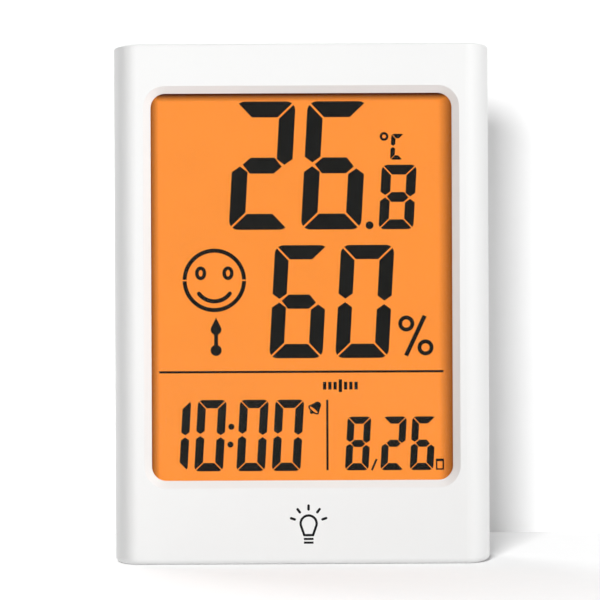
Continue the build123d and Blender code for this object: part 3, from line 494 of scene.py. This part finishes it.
# Small parts on the board: a drop of black epoxy over the chip, ceramic chip parts, a
# crystal in a drawn can, the white sensor with its grille, and a bead of resin on the
# leads of the thermistor.
epoxy_dark = (0.012, 0.012, 0.013)
epoxy_light = (0.03, 0.03, 0.03)
epoxy_black = finish_named("epoxy_black")
epoxy_ripple = epoxy_black.cloud(size=0.003, detail=3)
epoxy_black.surface(
    {
        "Base Color": epoxy_black.blend(epoxy_ripple, epoxy_dark, epoxy_light),
        "Roughness": 0.22 + 0.15 * epoxy_ripple,
        "Normal": epoxy_black.relief(epoxy_ripple, depth=0.00004),
    }
)
dress(epoxy_black.owner, "chip_blob", "thermistor")

ceramic_dark = (0.2, 0.14, 0.09)
ceramic_light = (0.34, 0.26, 0.18)
chip_ceramic = finish_named("chip_ceramic")
ceramic_speck = chip_ceramic.cloud(size=0.0003, detail=4)
chip_ceramic.surface(
    {
        "Base Color": chip_ceramic.blend(ceramic_speck, ceramic_dark, ceramic_light),
        "Roughness": 0.4 + 0.2 * ceramic_speck,
        "Normal": chip_ceramic.relief(ceramic_speck, depth=0.000008),
    }
)
dress(chip_ceramic.owner, "chip_parts")

sensor_dark = (0.76, 0.79, 0.82)
sensor_light = (0.84, 0.86, 0.88)
sensor_resin = moulded(
    "sensor_resin", sensor_dark, sensor_light, satin_grain, spark_depth, roughness=0.42
)
dress(sensor_resin, "humidity_sensor")

nylon_dark = (0.02, 0.02, 0.021)
nylon_light = (0.034, 0.034, 0.035)
black_moulding = moulded(
    "black_moulding", nylon_dark, nylon_light, spark_grain, spark_depth, roughness=0.45
)
dress(black_moulding, "buzzer", "switch_bodies")


# Contacts and fixings are plated steel: pressed plates and wound springs in bright
# nickel, zinc-plated screws, and a gold-plated spring for the touch area.
def plated(name, dull, bright, stretch, roughness):
    """Plated metal, with fine lines from rolling, drawing or turning."""
    finish = finish_named(name)
    line = finish.cloud(size=0.0004, detail=4, stretch=stretch)
    patch = finish.cloud(size=0.004)
    return finish.surface(
        {
            "Base Color": finish.blend(patch, dull, bright),
            "Metallic": 1.0,
            "Roughness": roughness + 0.15 * line,
            "Normal": finish.relief(line, depth=0.000004),
        }
    )


rolled = (1, 1, 0.08)
drawn = (1, 1, 1)

nickel_dull = (0.6, 0.58, 0.54)
nickel_bright = (0.74, 0.72, 0.68)
plate_metal = plated("nickel_plate", nickel_dull, nickel_bright, rolled, roughness=0.22)
dress(plate_metal, "bridge_plate", "positive_plate", "negative_plate")

wire_dull = (0.58, 0.57, 0.55)
wire_bright = (0.75, 0.74, 0.72)
spring_metal = plated("nickel_wire", wire_dull, wire_bright, drawn, roughness=0.2)
dress(spring_metal, "contact_springs", "clock_crystal")

zinc_dull = (0.55, 0.56, 0.57)
zinc_bright = (0.7, 0.71, 0.72)
screw_metal = plated("zinc_screw", zinc_dull, zinc_bright, drawn, roughness=0.3)
dress(screw_metal, "case_screws", "board_screws")

gold_dull = (0.72, 0.5, 0.2)
gold_bright = (0.86, 0.66, 0.32)
touch_metal = plated("gold_wire", gold_dull, gold_bright, drawn, roughness=0.22)
dress(touch_metal, "touch_spring")


# The two battery leads are stranded wire in soft PVC, red to the plus plate and black
# to the minus plate.
def insulation(name, dark, light):
    finish = finish_named(name)
    skin = finish.cloud(size=0.0008, detail=3)
    return finish.surface(
        {
            "Base Color": finish.blend(skin, dark, light),
            "Roughness": 0.38 + 0.15 * skin,
            "Normal": finish.relief(skin, depth=0.00001),
        }
    )


red_dark = (0.45, 0.012, 0.01)
red_light = (0.6, 0.025, 0.02)
dress(insulation("red_pvc", red_dark, red_light), "lead_red")

black_dark = (0.014, 0.014, 0.015)
black_light = (0.03, 0.03, 0.03)
dress(insulation("black_pvc", black_dark, black_light), "lead_black")


# Each AAA cell is a steel can in a printed plastic sleeve that is shrunk over the rims
# of both ends. A pale band marks its plus end, where the cap stands up in a groove.
sleeve_blue = (0.03, 0.09, 0.24)
sleeve_deep = (0.022, 0.068, 0.19)
sleeve_band = (0.66, 0.68, 0.7)
sleeve_print = (0.85, 0.86, 0.87)
cap_dull = (0.62, 0.61, 0.6)
cap_bright = (0.76, 0.75, 0.74)
cell_sides = 72
can_length = 0.0437
rim_cover = 0.0009
rim_step = 0.00015
cap_groove = 0.00025
cap_radius = 0.002
rim_round = 0.0004
rim_steps = 3
rim_angle = math.radians(50)
smooth_angle = math.radians(35)
end_facing = 0.9
band_length = 0.0105
sign_reach = 0.0015
sign_half_width = 0.0003
sign_from_end = 0.0055


def pick_faces(piece, wanted):
    """Selects the faces that the test wants, in edit mode."""
    bpy.ops.object.mode_set(mode="OBJECT")
    for group in (piece.data.vertices, piece.data.edges):
        for item in group:
            item.select = False
    for face in piece.data.polygons:
        face.select = wanted(face)
    bpy.ops.object.mode_set(mode="EDIT")


def step_in(piece, wanted, rim, rise):
    """Insets the picked end face by the rim, then moves what is left along its axis."""
    pick_faces(piece, wanted)
    bpy.ops.mesh.inset(thickness=rim)
    bpy.ops.mesh.extrude_region_move(TRANSFORM_OT_translate={"value": (0, 0, rise)})


def is_top(face):
    return face.normal.z > end_facing


def is_bottom(face):
    return face.normal.z < -end_facing


def sleeve_finish(name, plus_side, centre):
    finish = finish_named(name)
    film = finish.cloud(size=0.0012, detail=3)
    base = finish.blend(film, sleeve_deep, sleeve_blue)
    outward = plus_side * (finish.along("X") - centre.x)
    aside = finish.along("Z") - centre.z
    backward = finish.along("Y") > centre.y
    half_length = can_length / 2
    banded = finish.blend(outward > half_length - band_length, base, sleeve_band)
    from_plus = abs(outward - (half_length - band_length - sign_from_end))
    from_minus = abs(outward + (half_length - sign_from_end))
    upright = (from_plus < sign_half_width) * (abs(aside) < sign_reach)
    level = (abs(aside) < sign_half_width) * (from_plus.smaller(from_minus) < sign_reach)
    printed = upright.larger(level) * backward
    return finish.surface(
        {
            "Base Color": finish.blend(printed, banded, sleeve_print),
            "Roughness": 0.22 + 0.12 * film,
            "Coat Weight": 0.5,
            "Normal": finish.relief(film, depth=0.000006),
        }
    )


cap_metal = plated("cap_steel", cap_dull, cap_bright, drawn, roughness=0.25)
for cell_name, plus_side in (("cell_upper", 1), ("cell_lower", -1)):
    low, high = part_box(cell_name)
    radius = (high.z - low.z) / 2
    cap_height = high.x - low.x - can_length
    centre = (low + high) / 2
    centre.x -= plus_side * cap_height / 2
    bpy.ops.mesh.primitive_cylinder_add(
        vertices=cell_sides, radius=radius, depth=can_length, location=centre
    )
    cell = bpy.context.active_object
    cell.name = "sleeved_" + cell_name
    bpy.ops.object.mode_set(mode="EDIT")
    bpy.ops.mesh.select_mode(type="FACE")
    step_in(cell, is_top, rim_cover, -cap_groove)
    bpy.ops.mesh.inset(thickness=radius - rim_cover - cap_radius)
    bpy.ops.mesh.extrude_region_move(
        TRANSFORM_OT_translate={"value": (0, 0, cap_height + cap_groove)}
    )
    step_in(cell, is_bottom, rim_cover, rim_step)
    bpy.ops.object.mode_set(mode="OBJECT")
    rounding = cell.modifiers.new("rounding", "BEVEL")
    rounding.width = rim_round
    rounding.segments = rim_steps
    rounding.limit_method = "ANGLE"
    rounding.angle_limit = rim_angle
    bpy.ops.object.modifier_apply(modifier=rounding.name)
    cell.rotation_euler = (0, plus_side * math.pi / 2, 0)
    bpy.ops.object.transform_apply(location=True, rotation=True, scale=True)
    bpy.ops.object.shade_smooth_by_angle(angle=smooth_angle)
    cell.data.materials.append(sleeve_finish("printed_" + cell_name, plus_side, centre))
    cell.data.materials.append(cap_metal)
    for face in cell.data.polygons:
        from_axis = math.hypot(face.center.y - centre.y, face.center.z - centre.z)
        face.material_index = int(from_axis < radius - rim_cover)
    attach(cell, "housing")
    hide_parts(cell_name)
    bpy.ops.object.select_all(action="DESELECT")


# The studio: a pale floor and a paper sheet behind the object, which both keep its
# soft shadow, and white all round, which the object sees as a plain dimmer light. The
# sheet is seen from in front alone, so it hides nothing in a view of the back.
room_light = 0.2
floor_half = 6
floor_colour = (0.4, 0.4, 0.4)
floor_fibre = (0.415, 0.415, 0.415)
near_glow = 0.2
far_glow = 1.0
glow_reach = 0.5


def seen_directly(finish):
    """1 for what the camera sees, also in a reflection or through glass."""
    camera_ray = finish.node("LightPath", {}, {}, "Is Camera Ray")
    glossy_ray = finish.node("LightPath", {}, {}, "Is Glossy Ray")
    clear_ray = finish.node("LightPath", {}, {}, "Is Transmission Ray")
    return camera_ray.larger(glossy_ray).larger(clear_ray)


surroundings = Finish(bpy.data.worlds.new("studio_white"))
bpy.context.scene.world = surroundings.owner
plain_white = (1, 1, 1, 1)
room_strength = room_light + (1 - room_light) * seen_directly(surroundings)
room = surroundings.node("Background", {}, {"Color": plain_white, "Strength": room_strength})
surroundings.node("OutputWorld", {}, {"Surface": room})

bpy.ops.mesh.primitive_plane_add(size=2 * floor_half, location=(0, 0, 0))
floor = bpy.context.active_object
floor.name = "studio_floor"
paper = finish_named("floor_paper")
fibre = paper.cloud(size=0.004, detail=3)
matt = paper.node("BsdfDiffuse", {}, {"Color": paper.blend(fibre, floor_colour, floor_fibre)})
distance = paper.node("VectorMath", {"operation": "LENGTH"}, {0: paper.place()}, 1)
far_off = (distance / glow_reach).held()
floor_glow = near_glow + (far_glow - near_glow) * far_off
shine = paper.node("Emission", {}, {"Strength": floor_glow * seen_directly(paper)})
both = paper.node("AddShader", {}, {0: matt, 1: shine})
paper.node("OutputMaterial", {}, {"Surface": both})
floor.data.materials.append(paper.owner)

backdrop_y = 0.05
backdrop_half = 0.5
backdrop_white = (0.78, 0.78, 0.78)
backdrop_fibre = (0.8, 0.8, 0.8)
backdrop_glow = 0.19
shadow_reach = 0.14
white_reach = 0.25
bpy.ops.mesh.primitive_plane_add(
    size=2 * backdrop_half, location=(0, backdrop_y, backdrop_half), rotation=(math.pi / 2, 0, 0)
)
backdrop = bpy.context.active_object
backdrop.name = "studio_backdrop"
bpy.ops.object.transform_apply(location=True, rotation=True, scale=True)
sheet = finish_named("backdrop_paper")
sheet_fibre = sheet.cloud(size=0.004, detail=3)
sheet_colour = sheet.blend(sheet_fibre, backdrop_white, backdrop_fibre)
sheet_matt = sheet.node("BsdfDiffuse", {}, {"Color": sheet_colour})
from_middle = sheet.node("VectorMath", {"operation": "LENGTH"}, {0: sheet.place()}, 1)
past_shadow = ((from_middle - shadow_reach) / (white_reach - shadow_reach)).held()
sheet_glow = backdrop_glow + (1 - backdrop_glow) * past_shadow
sheet_shine = sheet.node("Emission", {}, {"Strength": sheet_glow})
front_side = sheet.node("AddShader", {}, {0: sheet_matt, 1: sheet_shine})
rear_side = sheet.node("BsdfTransparent", {}, {})
facing_away = sheet.node("NewGeometry", {}, {}, "Backfacing")
either = sheet.node("MixShader", {}, {0: facing_away, 1: front_side, 2: rear_side})
sheet.node("OutputMaterial", {}, {"Surface": either})
backdrop.data.materials.append(sheet.owner)
backdrop.visible_diffuse = False
backdrop.visible_glossy = False
backdrop.visible_transmission = False
backdrop.visible_shadow = False


# Soft boxes: a wide one at the front right and a weak one at the front left light the
# object, and one behind models its back. One for the sheet and one for the floor stand
# at the front left and throw the shadow to the right. All point at the object's middle.
aim = (Vector(packed_box[0]) + Vector(packed_box[1])) / 2


def soft_box(name, azimuth, elevation, distance, width, watts):
    """Azimuth 0 is in front of the object, and 90 is on its right."""
    turn = math.radians(azimuth)
    tip = math.radians(elevation)
    toward = Vector(
        (math.sin(turn) * math.cos(tip), -math.cos(turn) * math.cos(tip), math.sin(tip))
    )
    bpy.ops.object.light_add(type="AREA", location=aim + distance * toward)
    box = bpy.context.active_object
    box.name = name
    box.rotation_euler = toward.to_track_quat("Z", "Y").to_euler()
    box.data.shape = "SQUARE"
    box.data.size = width
    box.data.energy = watts
    box.visible_camera = False
    return box


def lights(name, state, *things):
    """A list of what a lamp lights: only these things, or all but these."""
    group = bpy.data.collections.new(name)
    for thing in things:
        group.objects.link(thing)
    for entry in group.collection_objects:
        entry.light_linking.link_state = state
    return group


object_only = lights("object_only", "EXCLUDE", floor, backdrop)
backdrop_only = lights("backdrop_only", "INCLUDE", backdrop)
floor_only = lights("floor_only", "INCLUDE", floor)
key_lamp = soft_box("key_lamp", azimuth=39, elevation=33, distance=2, width=0.55, watts=24.6)
key_lamp.light_linking.receiver_collection = object_only
fill_lamp = soft_box(
    "fill_lamp", azimuth=-25, elevation=-3, distance=0.37, width=0.1, watts=0.265
)
fill_lamp.light_linking.receiver_collection = object_only
soft_box("back_lamp", azimuth=215, elevation=40, distance=1, width=0.5, watts=5.6)
backdrop_lamp = soft_box(
    "backdrop_lamp", azimuth=-10.6, elevation=13, distance=1.5, width=0.3, watts=19
)
backdrop_lamp.light_linking.receiver_collection = backdrop_only
floor_lamp = soft_box(
    "floor_lamp", azimuth=-11.3, elevation=35, distance=1.5, width=0.3, watts=47
)
floor_lamp.light_linking.receiver_collection = floor_only


# The camera stands square in front at the height of the middle of the case, and is
# tipped by the quarter degree that the photograph is turned.
camera_place = Vector((-0.00037, -0.461, 0.05428))
camera_roll = math.radians(-0.25)
sensor_width_mm = 36
focal_length_mm = 131.6
bpy.ops.object.camera_add(location=camera_place)
camera = bpy.context.active_object
camera.data.sensor_width = sensor_width_mm
camera.data.lens = focal_length_mm
upright_view = Matrix.Rotation(math.pi / 2, 3, "X")
camera.rotation_euler = (upright_view @ Matrix.Rotation(camera_roll, 3, "Z")).to_euler()
bpy.context.scene.camera = camera
bpy.context.scene.view_settings.view_transform = "Standard"
